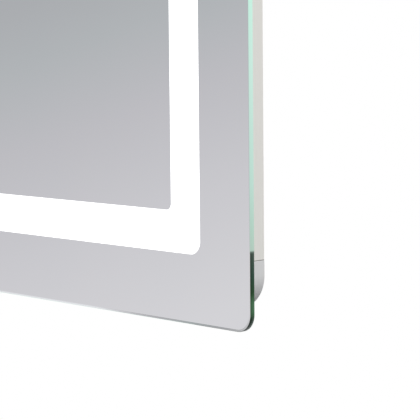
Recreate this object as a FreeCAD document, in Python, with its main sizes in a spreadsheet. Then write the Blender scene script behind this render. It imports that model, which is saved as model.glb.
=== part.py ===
import FreeCAD, Part

import math
import os

import Sketcher
from FreeCAD import Placement, Rotation, Vector

# A lighted wall mirror. Every length is in millimetres. The wall is the plane Y = 0 and the mirror
# faces -Y. "Height" is the distance from the wall plane towards the room, and "inward" is the
# distance from the edge of the glass towards the middle of the mirror.

SIZES = (
    # whole mirror
    ("width", 500, "glass, left to right"),
    ("height", 700, "glass, bottom to top"),
    ("depth", 26, "wall plane to the front of the glass"),
    # glass and its lit band
    ("glass_thickness", 4, "float glass"),
    ("glass_corner", 13, "corner radius of the glass"),
    ("glass_arris", 0.4, "bevel ground along both rims"),
    ("band_margin", 50, "edge of the glass to the lit band"),
    ("band_width", 30, "lit band"),
    ("band_outer_corner", 10, "outer corner radius of the band"),
    ("band_inner_corner", 5, "inner corner radius of the band"),
    ("etch_depth", 0.1, "sandblasting into the back of the glass"),
    ("backing_thickness", 0.15, "silver, copper and paint"),
    ("backing_margin", 1.5, "bare rim behind the glass"),
    ("tape_thickness", 0.8, "foam tape between frame and glass"),
    ("tape_width", 11, "foam tape"),
    # frame of four rails and four corner pieces
    ("frame_inset", 12.5, "edge of the glass to the outside of the frame"),
    ("rail_wall", 1.4, "wall of the rail"),
    ("rail_body", 12.8, "rail, outside to inside"),
    ("rail_flange", 16, "glass flange, outside to inside"),
    ("rail_edge", 0.6, "radius of the rail's front edge"),
    ("port_depth", 6.5, "screw port along the rail, from its mouth"),
    ("port_wall", 1.1, "walls of the screw port"),
    ("corner_leg", 35, "corner piece along each side"),
    ("corner_radius", 25, "outer radius of the corner piece"),
    ("corner_crook", 12, "inner radius of the corner piece"),
    ("corner_proud", 0.3, "corner piece beyond the rail"),
    ("corner_face", 1.6, "front wall of the corner piece"),
    ("corner_edge", 0.6, "bevel of the corner piece's front rim"),
    ("spigot_length", 28, "plug of the corner piece in the rail"),
    ("spigot_gap", 0.25, "plug to the rail's chamber, each side"),
    ("spigot_share", 0.65, "wall of the hollow plug, of the room beside the screw port"),
    ("crush_rib", 0.2, "height of the crush ribs on the plug"),
    ("crush_width", 1, "width of a crush rib"),
    ("crush_end", 2.5, "ends of the plug to the crush ribs"),
    ("rib_thickness", 1.2, "ribs in the corner piece"),
    ("rib_depth", 12, "ribs in the corner piece, from its front wall"),
    # back plate
    ("plate_thickness", 1, "steel sheet"),
    ("plate_gap", 0.5, "plate to the frame's outer wall"),
    ("bead_width", 10, "pressed bead"),
    ("bead_height", 1, "pressed bead"),
    ("bead_margin", 43, "ends of the beads to the side channels"),
    ("bead_count", 3, "beads below the cable recess"),
    ("recess_width", 90, "cable recess, left to right"),
    ("recess_height", 56, "cable recess, bottom to top"),
    ("recess_depth", 7, "cable recess"),
    ("recess_corner", 8, "corner radius of the cable recess"),
    ("recess_drop", 30, "junction box to the cable recess"),
    # keyholes
    ("keyhole_radius", 5.5, "round way in"),
    ("keyhole_slot", 2.75, "half the width of the slot"),
    ("keyhole_travel", 14, "way in to the slot's end"),
    ("cup_wall", 1.2, "pressed keyhole cup"),
    ("cup_width", 28, "outside of the cup"),
    ("cup_height", 40, "outside of the cup"),
    ("cup_depth", 10, "outside of the cup"),
    ("cup_corner", 4, "corner radius of the cup"),
    ("cup_flange", 9, "flange on each side of the cup, spot-welded to the plate"),
    ("cup_clearance", 5, "flange of the cup to the side channel"),
    ("cup_drop", 13, "top channel to the cup"),
    # screws
    ("screw_radius", 1.4, "shank of the sheet-metal screw"),
    ("countersink", 0.95, "depth of the countersinks, of the thickness of the plate"),
    ("screw_length", 6, "sheet-metal screw"),
    ("screw_gap", 0.15, "screw to the plate"),
    ("thread_gap", 0.05, "screw to the metal it cuts its thread in"),
    ("head_recess", 0.05, "heads below the plate's back"),
    # light channels behind the band
    ("channel_tape", 0.5, "tape between the channel and the back plate"),
    ("channel_tape_inset", 4, "tape inward of the channel's edges"),
    ("channel_margin", 2, "channel beyond the band on each side"),
    ("channel_wall", 1.2, "wall of the channel"),
    ("channel_ledge", 1, "ledge that carries the cover"),
    ("channel_drop", 0.8, "channel below the frame's front"),
    ("cover_thickness", 1.1, "opal cover"),
    ("cover_leg", 3, "clip leg of the cover"),
    ("cover_gap", 0.1, "cover to channel"),
    ("mitre_gap", 0.2, "open joint at each mitre"),
    ("strip_width", 10, "light strip"),
    ("strip_thickness", 0.8, "circuit board of the strip"),
    ("strip_end", 6, "strip's end to the next strip's centre line"),
    ("chip_length", 3.5, "light chip"),
    ("chip_width", 2.8, "light chip"),
    ("chip_height", 0.7, "light chip"),
    ("chip_pitch", 25, "chip to chip"),
    # what lies inside
    ("pad_tape", 1, "foam under the driver and the junction box"),
    ("pad_inset", 5, "foam inward of their edges"),
    ("shell_wall", 1.8, "walls of the driver and the junction box"),
    ("shell_corner", 3, "corner radius of the driver and the junction box"),
    ("lid_gap", 0.2, "lip of a lid to its tray"),
    ("lid_share", 0.125, "depth of the lip, of the height of tray and lid"),
    ("driver_length", 150, "light driver"),
    ("driver_width", 42, "light driver"),
    ("driver_headroom", 3.85, "lid of the driver to the glass"),
    ("driver_share", 0.18, "place of the driver, of the width that the two leave free"),
    ("driver_drop", 44, "keyhole cups to the driver"),
    ("board_thickness", 1.4, "circuit board of the driver"),
    ("board_end", 8, "board to the ends of the tray"),
    ("board_side", 1, "board to the sides of the tray"),
    ("box_length", 84, "junction box"),
    ("box_width", 52, "junction box"),
    ("box_headroom", 4.85, "lid of the junction box to the glass"),
    ("box_share", 0.4, "place of the box, of the width that the two leave free"),
    ("box_step", 8, "middle of the box below that of the driver"),
    ("terminal_pitch", 10, "terminal to terminal"),
    ("terminal_width", 16, "terminal block"),
    ("terminal_share", 0.79, "height of the terminal block, of the room in the box"),
    ("terminal_gap", 1.2, "slot between two terminals"),
    ("terminal_screw", 1.9, "radius of a terminal's screw"),
    ("heater_margin", 18, "demister pad to the side channels"),
    ("heater_drop", 33, "junction box to the demister pad"),
    ("heater_foot", 61, "bottom channel to the demister pad"),
    ("heater_thickness", 0.4, "demister pad"),
    ("tail_inset", 2, "soldered terminal to the top of the demister pad"),
    ("tail_width", 18, "soldered terminal of the demister pad"),
    ("tail_length", 12, "soldered terminal of the demister pad"),
    ("tail_height", 3.5, "soldered terminal of the demister pad"),
    ("sensor_inset", 24.5, "plug of the corner piece to the middle of the hand sensor"),
    ("sensor_margin", 1.1, "rim of the sensor to the inner edges of the rail"),
    ("sensor_shoulder", 1.6, "rim beyond the barrel"),
    ("sensor_rim", 1.6, "thickness of the rim"),
    ("sensor_wall", 1.9, "barrel round its window"),
    ("sensor_window", 1, "window's seat inside the rail's face"),
    ("sensor_sunk", 0.3, "window below the rim"),
    ("sensor_reach", 9, "barrel beyond the rail"),
    ("sensor_nut", 0.6, "nut to the inner edges of the rail"),
    ("sensor_nut_height", 3, "nut of the sensor"),
    ("sensor_gap", 0.1, "barrel to the rail and the nut"),
    ("sensor_entry", 0.14, "way of the sensor lead into the driver, of the driver's length"),
    ("lead_radius", 1.5, "sheathed lead"),
    ("lead_bend", 6, "least bend of a lead, to its centre line"),
    ("lead_gap", 0.15, "lead to the hole it passes"),
    ("lead_tuck", 2, "end of a lead inside a wall"),
    ("lead_tail", 8, "end of the light lead inside its channel"),
    ("lead_rise", 4, "leads above the floor of the trays"),
    ("lead_lift", 3, "sensor lead above the plate"),
    ("clip_width", 16, "foot of a saddle clip"),
    ("clip_length", 8, "saddle clip, along the lead"),
    ("clip_wall", 1.2, "saddle clip"),
    ("clip_end", 50, "end clips to the bottom channel and the driver"),
    ("clip_count", 3, "saddle clips"),
    ("grommet_bore", 3.5, "radius of the cable way through the grommet"),
    ("grommet_wall", 2.5, "rubber round the cable way"),
    ("grommet_lip", 2.5, "lips of the grommet beyond its hole"),
    ("grommet_rim", 2, "thickness of each lip"),
    ("grommet_gap", 0.1, "grommet to its hole"),
    ("earth_lead", 1.05, "radius of the earth lead"),
    ("earth_drop", 20, "junction box to the earth stud"),
    ("earth_foot", 3.5, "radius of the stud's welded foot"),
    ("earth_foot_height", 0.8, "welded foot"),
    ("earth_stud", 2, "radius of the stud"),
    ("earth_length", 9, "stud, from the plate"),
    ("earth_nut", 3.5, "half across the flats of the nut"),
    ("earth_nut_height", 3.2, "nut"),
    ("tag_ring", 4, "half across the ring of the tag"),
    ("tag_thickness", 0.8, "sheet of the tag"),
    ("tag_neck", 3, "width of the tag's neck"),
    ("tag_barrel", 3.6, "width of the barrel that grips the lead"),
    ("tag_reach", 11.5, "stud to the end of the barrel"),
    ("tag_height", 3.1, "barrel, from the underside of the tag"),
    ("tag_gap", 0.1, "tag to the stud's foot, the nut and the stud"),
)


class Size:
    """A length with its expression, so that a sketch is drawn where it will solve."""

    def __init__(self, value, text=None):
        self.value = float(value)
        self.text = text or f"({self.value:.9g})"

    @staticmethod
    def of(other):
        return other if isinstance(other, Size) else Size(other)

    def __add__(self, other):
        other = Size.of(other)
        return Size(self.value + other.value, f"({self.text} + {other.text})")

    def __sub__(self, other):
        other = Size.of(other)
        return Size(self.value - other.value, f"({self.text} - {other.text})")

    def __mul__(self, other):
        other = Size.of(other)
        return Size(self.value * other.value, f"({self.text} * {other.text})")

    def __truediv__(self, other):
        other = Size.of(other)
        return Size(self.value / other.value, f"({self.text} / {other.text})")

    def __neg__(self):
        return Size(-self.value, f"(-{self.text})")

    def __radd__(self, other):
        return Size.of(other) + self

    def __rsub__(self, other):
        return Size.of(other) - self

    def __rmul__(self, other):
        return Size.of(other) * self

    def whole(self):
        """The size rounded down to a count."""
        return Size(math.floor(self.value), f"floor({self.text})")


class Sheet:
    """The spreadsheet of driving sizes, read as sheet.width and so on."""

    def __init__(self, doc, rows):
        self.cells = doc.addObject("Spreadsheet::Sheet", "Sizes")
        for number, (alias, value, meaning) in enumerate(rows, 1):
            self.cells.set(f"A{number}", str(value))
            self.cells.setAlias(f"A{number}", alias)
            self.cells.set(f"B{number}", meaning)
            setattr(self, alias, Size(value, f"Sizes.{alias}"))
        doc.recompute()


class Circle:
    """A round outline in a sketch."""

    def __init__(self, across, up, radius):
        self.across = Size.of(across)
        self.up = Size.of(up)
        self.radius = Size.of(radius)


# Two lengths or volumes closer than this are taken as equal.
CLOSE = 1e-3

doc = FreeCAD.newDocument("lighted_mirror")
S = Sheet(doc, SIZES)
NODES = []

# How far a cut runs on beyond what it cuts.
SPARE = Size(1)
# A bent lead's volume is that of a straight one as long, but for this share at most.
LEAD_TOLERANCE = 0.01
# Sides of a small round that is drawn with flats, because there are several of each.
SCREW_FLATS = 12
LEAD_FLATS = 8
BOARD_FLATS = 8
NUT_FLATS = 6

# Heights above the wall plane, from the back plate out to the glass.
PLATE_FRONT = S.plate_thickness
GLASS_BACK = S.depth - S.glass_thickness
BACKING_BACK = GLASS_BACK - S.backing_thickness
FRAME_FRONT = BACKING_BACK - S.tape_thickness
CHANNEL_BACK = PLATE_FRONT + S.channel_tape
CHANNEL_FRONT = FRAME_FRONT - S.channel_drop
SHELL_LOW = PLATE_FRONT + S.pad_tape
SHELL_FLOOR = SHELL_LOW + S.shell_wall
LEAD_HEIGHT = SHELL_FLOOR + S.lead_rise
SENSOR_LEAD_LOW = PLATE_FRONT + S.lead_lift + S.lead_radius
# Distances inward from the edge of the glass.
RAIL_MIDDLE = S.frame_inset + S.rail_body / 2
RAIL_INSIDE = S.frame_inset + S.rail_body
RAIL_END = S.frame_inset + S.corner_leg
CHANNEL_MIDDLE = S.band_margin + S.band_width / 2
CHANNEL_WIDTH = S.band_width + 2 * S.channel_margin
CHANNEL_OUT = S.band_margin - S.channel_margin
CHANNEL_IN = CHANNEL_OUT + CHANNEL_WIDTH
# The room inside the four light channels, from the middle of the mirror.
INNER_ACROSS = S.width / 2 - CHANNEL_IN
INNER_UP = S.height / 2 - CHANNEL_IN
# The screw port of a rail: half its mouth, and half its width over its walls.
PORT_HALF = S.screw_radius + S.thread_gap
PORT_OUTSIDE = PORT_HALF + S.port_wall
# Plate screws, and the slope of their countersinks in degrees.
COUNTERSINK_SLOPE = 45
SCREW_HOLE = S.screw_radius + S.screw_gap
SINK_DEPTH = S.plate_thickness * S.countersink
SCREW_HEAD = S.screw_radius + SINK_DEPTH
# The keyholes hang below the top channel and inward of the side channels, by their cups' room.
KEYHOLE_ACROSS = INNER_ACROSS - S.cup_clearance - S.cup_flange - S.cup_width / 2
CUP_RISE = INNER_UP - S.cup_drop - S.cup_height / 2
KEYHOLE_RISE = CUP_RISE - S.keyhole_travel / 2
# Below them lie the driver and the junction box, side by side in the width between the channels.
SPARE_WIDTH = 2 * INNER_ACROSS - S.driver_length - S.box_length
DRIVER_LEFT = SPARE_WIDTH * S.driver_share - INNER_ACROSS
DRIVER_RIGHT = DRIVER_LEFT + S.driver_length
DRIVER_ACROSS = DRIVER_LEFT + S.driver_length / 2
DRIVER_RISE = CUP_RISE - S.cup_height / 2 - S.driver_drop - S.driver_width / 2
DRIVER_LOW = DRIVER_RISE - S.driver_width / 2
DRIVER_HEIGHT = BACKING_BACK - SHELL_LOW - S.driver_headroom
BOX_LEFT = INNER_ACROSS - SPARE_WIDTH * S.box_share - S.box_length
BOX_ACROSS = BOX_LEFT + S.box_length / 2
BOX_RISE = DRIVER_RISE - S.box_step
BOX_LOW = BOX_RISE - S.box_width / 2
BOX_HEIGHT = BACKING_BACK - SHELL_LOW - S.box_headroom
# Below these come the cable recess, the earth stud and the demister pad.
RECESS_RISE = BOX_LOW - S.recess_drop - S.recess_height / 2
RECESS_LOW = RECESS_RISE - S.recess_height / 2 - S.plate_thickness
GROMMET_HUB = S.grommet_bore + S.grommet_wall
EARTH_ACROSS = BOX_ACROSS + S.box_length / 4
EARTH_RISE = BOX_LOW - S.earth_drop
EARTH_TAG_HIGH = PLATE_FRONT + S.earth_foot_height + S.tag_gap + S.tag_thickness
EARTH_LEAD_HEIGHT = EARTH_TAG_HIGH + S.earth_lead
HEATER_LEAD_ACROSS = BOX_ACROSS - S.box_length / 4
HEATER_TOP = BOX_LOW - S.heater_drop
HEATER_LOW = S.heater_foot - INNER_UP
HEATER_BACK = BACKING_BACK - S.heater_thickness
HEATER_LEAD_HEIGHT = HEATER_BACK - S.tail_height / 2
# The hand sensor stands in the middle of the bottom rail's face and is as large as its room allows.
RAIL_ROOM = (FRAME_FRONT - PLATE_FRONT) / 2 - S.rail_wall
SENSOR_HEIGHT = (FRAME_FRONT + PLATE_FRONT) / 2
SENSOR_ACROSS = RAIL_END + S.spigot_length + S.sensor_inset - S.width / 2
SENSOR_RIM = RAIL_ROOM - S.sensor_margin
SENSOR_RADIUS = SENSOR_RIM - S.sensor_shoulder
SENSOR_HOLE = SENSOR_RADIUS + S.sensor_gap
SENSOR_WINDOW = SENSOR_RADIUS - S.sensor_wall
SENSOR_TOP = RAIL_INSIDE + S.sensor_reach
SENSOR_LEAD_IN = DRIVER_LEFT + S.driver_length * S.sensor_entry
LEAD_HOLE = S.lead_radius + S.lead_gap

# Each side of the mirror is drawn lying along X with its glass edge on the X axis, then turned
# about Y and set at its edge: (turn in degrees, edge across, edge up, length of the side).
SIDES = {
    "bottom": (0, Size(0), -S.height / 2, S.width),
    "right": (-90, S.width / 2, Size(0), S.height),
    "top": (180, Size(0), S.height / 2, S.width),
    "left": (90, -S.width / 2, Size(0), S.height),
}
# Each corner is drawn with the glass corner at the origin and the glass in +X and +Z.
CORNERS = {
    "bottom_left": (0, -S.width / 2, -S.height / 2),
    "bottom_right": (-90, S.width / 2, -S.height / 2),
    "top_right": (180, S.width / 2, S.height / 2),
    "top_left": (90, -S.width / 2, S.height / 2),
}
QUARTER_TURNS = {0: (1, 0), -90: (0, 1), 180: (-1, 0), 90: (0, -1)}


def turned(turn, origin, across, up):
    """Where a point of a side's or corner's own drawing lies on the mirror."""
    along_x, along_z = QUARTER_TURNS[turn]
    across, up = Size.of(across), Size.of(up)
    return (
        origin[0] + across * along_x - up * along_z,
        origin[1] + across * along_z + up * along_x,
    )


def side_point(side, along, inward):
    turn, across, up, _ = SIDES[side]
    return turned(turn, (across, up), along, inward)


# ---------------------------------------------------------------- sketches and features


def new_body(name, across=0, height=0, up=0, turn=0, axis=(0, 1, 0)):
    """A body of its own node, placed on the mirror."""
    body = doc.addObject("PartDesign::Body", name)
    body.Label = name
    places = {"x": Size.of(across), "y": -Size.of(height), "z": Size.of(up)}
    base = Vector(*(size.value for size in places.values()))
    body.Placement = Placement(base, Rotation(Vector(*axis), turn))
    for letter, size in places.items():
        body.setExpression(f"Placement.Base.{letter}", size.text)
    NODES.append(body)
    return body


def side_body(name, side):
    turn, across, up, _ = SIDES[side]
    return new_body(name, across, 0, up, turn)


def sketch_on(body, name, plane, level):
    """An empty sketch on one of the body's own origin planes, lifted along its normal."""
    sketch = body.newObject("Sketcher::SketchObject", f"{body.Label}_{name}_sketch")
    datum = next(item for item in body.Origin.OriginFeatures if item.Role == plane)
    sketch.AttachmentSupport = [(datum, "")]
    sketch.MapMode = "FlatFace"
    sketch.AttachmentOffset = Placement(Vector(0, 0, level.value), Rotation())
    sketch.setExpression("AttachmentOffset.Base.z", level.text)
    return sketch


def measure(sketch, kind, size, *ends):
    """A dimension of the sketch, tied to the spreadsheet."""
    index = sketch.addConstraint(Sketcher.Constraint(kind, *ends, size.value))
    sketch.setExpression(f"Constraints[{index}]", size.text)


def pin(sketch, curve, end, across, up):
    """Holds one end or centre of a curve at two sizes from the sketch's origin."""
    measure(sketch, "DistanceX", across, -1, 1, curve, end)
    measure(sketch, "DistanceY", up, -1, 1, curve, end)


def towards(corner, other, radius):
    """The point one radius away from a square corner, on the side that leads to other."""
    ways = []
    for here, there in zip(corner, other[:2]):
        step = there.value - here.value
        ways.append(0 if abs(step) < CLOSE else math.copysign(1, step))
    return corner[0] + radius * ways[0], corner[1] + radius * ways[1]


def draw_circle(sketch, circle):
    centre = Vector(circle.across.value, circle.up.value, 0)
    curve = sketch.addGeometry(Part.Circle(centre, Vector(0, 0, 1), circle.radius.value))
    pin(sketch, curve, 3, circle.across, circle.up)
    measure(sketch, "Radius", circle.radius, curve)


def draw_outline(sketch, corners):
    """A closed outline of (across, up) corners, or (across, up, radius) for a rounded one."""
    corners = [tuple(Size.of(size) for size in corner) for corner in corners]
    ends = []
    for place, corner in enumerate(corners):
        arrive = leave = corner[:2]
        if len(corner) == 3:
            arrive = towards(corner, corners[place - 1], corner[2])
            leave = towards(corner, corners[(place + 1) % len(corners)], corner[2])
        ends.append((arrive, leave))
    lines = []
    for place, (_, start) in enumerate(ends):
        stop = ends[(place + 1) % len(ends)][0]
        span = [Vector(point[0].value, point[1].value, 0) for point in (start, stop)]
        line = sketch.addGeometry(Part.LineSegment(*span))
        pin(sketch, line, 1, *start)
        lines.append(line)
    for place, corner in enumerate(corners):
        before, after = lines[place - 1], lines[place]
        if len(corner) == 2:
            sketch.addConstraint(Sketcher.Constraint("Coincident", before, 2, after, 1))
        else:
            pin(sketch, before, 2, *ends[place][0])
            round_corner(sketch, corner, ends[place], before, after)


def round_corner(sketch, corner, ends, before, after):
    """A quarter arc from the line before a corner to the line after it."""
    (arrive_x, arrive_z), (leave_x, leave_z) = ((x.value, z.value) for x, z in ends)
    middle_x = arrive_x + leave_x - corner[0].value
    middle_z = arrive_z + leave_z - corner[1].value
    radius = corner[2].value
    first = math.atan2(arrive_z - middle_z, arrive_x - middle_x)
    last = math.atan2(leave_z - middle_z, leave_x - middle_x)
    # an arc in a sketch runs anticlockwise, so a corner that turns the other way is drawn from
    # its far end
    anticlockwise = math.sin(last - first) > 0
    start, stop = (first, last) if anticlockwise else (last, first)
    circle = Part.Circle(Vector(middle_x, middle_z, 0), Vector(0, 0, 1), radius)
    arc = sketch.addGeometry(Part.ArcOfCircle(circle, start, stop))
    arrive_end, leave_end = (1, 2) if anticlockwise else (2, 1)
    sketch.addConstraint(Sketcher.Constraint("Coincident", before, 2, arc, arrive_end))
    sketch.addConstraint(Sketcher.Constraint("Coincident", arc, leave_end, after, 1))
    measure(sketch, "Radius", corner[2], arc)


def draw(sketch, shapes):
    for shape in shapes:
        if isinstance(shape, Circle):
            draw_circle(sketch, shape)
        else:
            draw_outline(sketch, shape)


def rectangle(left, low, right, high, radius=None):
    corners = [(left, low), (right, low), (right, high), (left, high)]
    if radius is None:
        return corners
    return [corner + (radius,) for corner in corners]


def block(across, up, width, tall, radius=None):
    """A rectangle about its middle."""
    across, up, width, tall = (Size.of(size) for size in (across, up, width, tall))
    half, rise = width / 2, tall / 2
    return rectangle(across - half, up - rise, across + half, up + rise, radius)


def polygon(across, up, reach, sides):
    """A regular outline whose flats all lie at one reach from its middle."""
    across, up, reach = (Size.of(size) for size in (across, up, reach))
    point = reach / math.cos(math.pi / sides)
    turns = [2 * math.pi * side / sides for side in range(sides)]
    return [(across + point * math.cos(turn), up + point * math.sin(turn)) for turn in turns]


def add(body, name, shapes, low, high, plane="XZ_Plane"):
    """Pads shapes from one level above a plane to another."""
    low, high = Size.of(low), Size.of(high)
    sketch = sketch_on(body, name, plane, low)
    draw(sketch, shapes)
    pad = body.newObject("PartDesign::Pad", f"{body.Label}_{name}")
    pad.Profile = sketch
    pad.setExpression("Length", (high - low).text)
    return pad


def cut(body, name, shapes, low, high, plane="XZ_Plane"):
    """Pockets shapes between two levels above a plane."""
    low, high = Size.of(low), Size.of(high)
    sketch = sketch_on(body, name, plane, high)
    draw(sketch, shapes)
    pocket = body.newObject("PartDesign::Pocket", f"{body.Label}_{name}")
    pocket.Profile = sketch
    pocket.setExpression("Length", (high - low).text)
    return pocket


def revolve(body, name, corners):
    """Turns a half section of (radius, level) corners about the body's own Z axis."""
    sketch = sketch_on(body, name, "XZ_Plane", Size(0))
    draw(sketch, [corners])
    turn = body.newObject("PartDesign::Revolution", f"{body.Label}_{name}")
    turn.Profile = sketch
    turn.ReferenceAxis = (sketch, ["V_Axis"])
    turn.Angle = 360
    return turn


def bevel(body, name, size, chosen):
    """A chamfer on the edges that chosen picks."""
    doc.recompute()
    base = body.Tip
    edges = [f"Edge{number}" for number, edge in enumerate(base.Shape.Edges, 1) if chosen(edge)]
    chamfer = body.newObject("PartDesign::Chamfer", f"{body.Label}_{name}")
    chamfer.Base = (base, edges)
    chamfer.setExpression("Size", size.text)


def repeat(body, name, feature, sketch_axis, pitch, count):
    """Repeats a feature in a row along one axis of its own sketch."""
    pattern = body.newObject("PartDesign::LinearPattern", f"{body.Label}_{name}")
    pattern.Originals = [feature]
    pattern.Direction = (feature.Profile[0], [sketch_axis])
    pattern.setExpression("Length", (pitch * (count - 1)).text)
    pattern.setExpression("Occurrences", count.text)
    body.Tip = pattern


def at_level(edge, height):
    """Is the whole edge at this height above the wall plane, in its body's own frame?"""
    box = edge.BoundBox
    return abs(box.YMin + height.value) < CLOSE and abs(box.YMax + height.value) < CLOSE


def faceted_solid(sides, sections):
    """A small turned part as a many-sided solid, through (radius, height) sections."""
    wires = []
    for radius, height in sections:
        turns = [2 * math.pi * side / sides for side in range(sides + 1)]
        ring = [Vector(math.cos(turn), 0, math.sin(turn)) * radius.value for turn in turns]
        wires.append(Part.makePolygon([point - Vector(0, height.value, 0) for point in ring]))
    return Part.makeLoft(wires, True, True)


def group(name, solid, places):
    """One node of equal loose solids, one at each (across, up)."""
    copies = []
    for across, up in places:
        copy = solid.copy()
        copy.translate(Vector(across.value, 0, up.value))
        copies.append(copy)
    feature = doc.addObject("Part::Feature", name)
    feature.Label = name
    feature.Shape = Part.Compound(copies)
    NODES.append(feature)


# ---------------------------------------------------------------- glass


def mirror_face(margin, radius=None):
    """The outline that lies this far inside the edge of the glass."""
    return block(0, 0, S.width - 2 * margin, S.height - 2 * margin, radius)


def make_glass():
    glass = new_body("mirror_glass")
    add(glass, "sheet", [mirror_face(Size(0), S.glass_corner)], GLASS_BACK, S.depth)
    for name, level in (("front_arris", S.depth), ("back_arris", GLASS_BACK)):
        bevel(glass, name, S.glass_arris, lambda edge: at_level(edge, level))
    band_in = S.band_margin + S.band_width
    outer = mirror_face(S.band_margin, S.band_outer_corner)
    inner = mirror_face(band_in, S.band_inner_corner)
    cut(glass, "etched_band", [outer, inner], GLASS_BACK, GLASS_BACK + S.etch_depth)


def make_silver():
    """Silver and paint behind the glass: a rim and a middle, with the lit band left clear."""
    silver = new_body("silver_backing")
    silver.AllowCompound = True
    rim = mirror_face(S.backing_margin, S.glass_corner - S.backing_margin)
    outer = mirror_face(S.band_margin, S.band_outer_corner)
    inner = mirror_face(S.band_margin + S.band_width, S.band_inner_corner)
    add(silver, "coat", [rim, outer, inner], BACKING_BACK, GLASS_BACK)


def make_glass_tapes():
    """Foam tape between each rail's flange and the back of the glass."""
    inward = S.frame_inset + S.rail_flange / 2
    for side, (_, _, _, length) in SIDES.items():
        tape = side_body(f"glass_tape_{side}", side)
        strip = block(0, inward, length - 2 * RAIL_END, S.tape_width)
        add(tape, "strip", [strip], FRAME_FRONT, BACKING_BACK)


# ---------------------------------------------------------------- frame


def rail_screws(side):
    """Where the back plate's two screws stand along a rail."""
    length = SIDES[side][3] - 2 * RAIL_END
    return [-length / 4, length / 4]


def rail_section():
    """Outline and chamber of the extrusion, drawn as (-height, inward).

    A deep groove along the back, the screw port, takes the back plate's screws anywhere.
    """
    face, out = -FRAME_FRONT, S.frame_inset
    wall, body = S.rail_wall, S.rail_body
    back = -PLATE_FRONT - wall
    port_end = -PLATE_FRONT - S.port_depth
    skin = [
        (0, out),
        (0, out + wall),
        (-PLATE_FRONT, out + wall),
        (-PLATE_FRONT, RAIL_MIDDLE - PORT_HALF),
        (port_end, RAIL_MIDDLE - PORT_HALF),
        (port_end, RAIL_MIDDLE + PORT_HALF),
        (-PLATE_FRONT, RAIL_MIDDLE + PORT_HALF),
        (-PLATE_FRONT, out + body),
        (face + wall, out + body),
        (face + wall, out + S.rail_flange),
        (face, out + S.rail_flange),
        (face, out, S.rail_edge),
    ]
    chamber = [
        (face + wall, out + wall),
        (back, out + wall),
        (back, RAIL_MIDDLE - PORT_OUTSIDE),
        (port_end - S.port_wall, RAIL_MIDDLE - PORT_OUTSIDE),
        (port_end - S.port_wall, RAIL_MIDDLE + PORT_OUTSIDE),
        (back, RAIL_MIDDLE + PORT_OUTSIDE),
        (back, out + body - wall),
        (face + wall, out + body - wall),
    ]
    return [skin, chamber]


def make_rails():
    for side, (_, _, _, length) in SIDES.items():
        rail = side_body(f"rail_{side}", side)
        reach = length / 2 - RAIL_END
        add(rail, "extrusion", rail_section(), -reach, reach, "YZ_Plane")
        if side == "bottom":
            hole = Circle(SENSOR_ACROSS, -SENSOR_HEIGHT, SENSOR_HOLE)
            low, high = S.frame_inset - SPARE, RAIL_INSIDE + SPARE
            cut(rail, "sensor_hole", [hole], low, high, "XY_Plane")


def both_legs(shape):
    """An outline on one leg of the corner piece, and its mirror image on the other."""
    return [shape, [(corner[1], corner[0]) + tuple(corner[2:]) for corner in shape]]


def make_corners():
    """Four equal mouldings, open to the wall, that plug into the rails."""
    skin = S.frame_inset - S.corner_proud
    wall = S.rail_wall + S.corner_proud
    leg, body = RAIL_END, RAIL_INSIDE
    outside = [
        (skin, skin, S.corner_radius),
        (leg, skin),
        (leg, body),
        (body, body, S.corner_crook),
        (body, leg),
        (skin, leg),
    ]
    rebate = rectangle(skin + wall, skin + wall, leg + SPARE, leg + SPARE)
    rebate[0] += (S.corner_radius - wall,)
    hollow = [
        (skin + wall, skin + wall, S.corner_radius - wall),
        (leg - wall, skin + wall),
        (leg - wall, body - S.rail_wall),
        (body - S.rail_wall, body - S.rail_wall, S.corner_crook),
        (body - S.rail_wall, leg - wall),
        (skin + wall, leg - wall),
    ]
    inner_front = FRAME_FRONT - S.corner_face
    ribs = []
    for number in (1, 2):
        place = leg - wall - number * (S.corner_leg - S.corner_crook) / 4
        rib = rectangle(place, skin + wall / 2, place + S.rib_thickness, body - S.rail_wall / 2)
        ribs += both_legs(rib)
    # the plug fills the rail's chamber but for a gap all round, and is hollow and open to the
    # back and at its end, so that it passes round the screw port
    low = PLATE_FRONT + S.rail_wall + S.spigot_gap
    high = FRAME_FRONT - S.rail_wall - S.spigot_gap
    out = S.frame_inset + S.rail_wall + S.spigot_gap
    inside = body - S.rail_wall - S.spigot_gap
    tip = leg + S.spigot_length
    beside_port = S.rail_body / 2 - S.rail_wall - PORT_OUTSIDE
    plug_wall = beside_port * S.spigot_share
    plug = rectangle(leg - wall, out, tip, inside)
    core = rectangle(leg, out + plug_wall, tip + SPARE, inside - plug_wall)
    start, stop = leg + S.crush_end, tip - S.crush_end
    outer_rib = rectangle(start, out - S.crush_rib, stop, out + plug_wall / 2)
    inner_rib = rectangle(start, inside - plug_wall / 2, stop, inside + S.crush_rib)
    middle = (low + high) / 2
    for corner, (turn, across, up) in CORNERS.items():
        piece = new_body(f"corner_{corner}", across, 0, up, turn)
        add(piece, "moulding", [outside], 0, FRAME_FRONT)
        bevel(
            piece, "front_rim", S.corner_edge,
            lambda edge: at_level(edge, FRAME_FRONT) and on_outside(edge, skin, leg),
        )
        cut(piece, "plate_rebate", [rebate], 0, PLATE_FRONT)
        cut(piece, "hollow", [hollow], PLATE_FRONT, inner_front)
        add(piece, "ribs", ribs, inner_front - S.rib_depth, inner_front)
        add(piece, "plugs", both_legs(plug), low, high)
        cut(piece, "cores", both_legs(core), low, high - plug_wall)
        add(
            piece, "crush_ribs", both_legs(outer_rib) + both_legs(inner_rib),
            middle - S.crush_width / 2, middle + S.crush_width / 2,
        )


def on_outside(edge, skin, leg):
    """Is the edge on the corner piece's outer skin, short of its two ends?"""
    box = edge.BoundBox
    near_skin = skin.value + CLOSE
    along = box.ZMax < near_skin and box.XMin < leg.value - CLOSE
    rising = box.XMax < near_skin and box.ZMin < leg.value - CLOSE
    rounded = edge.Curve.TypeId == "Part::GeomCircle" and box.XMin < near_skin
    return along or rising or rounded


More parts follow.
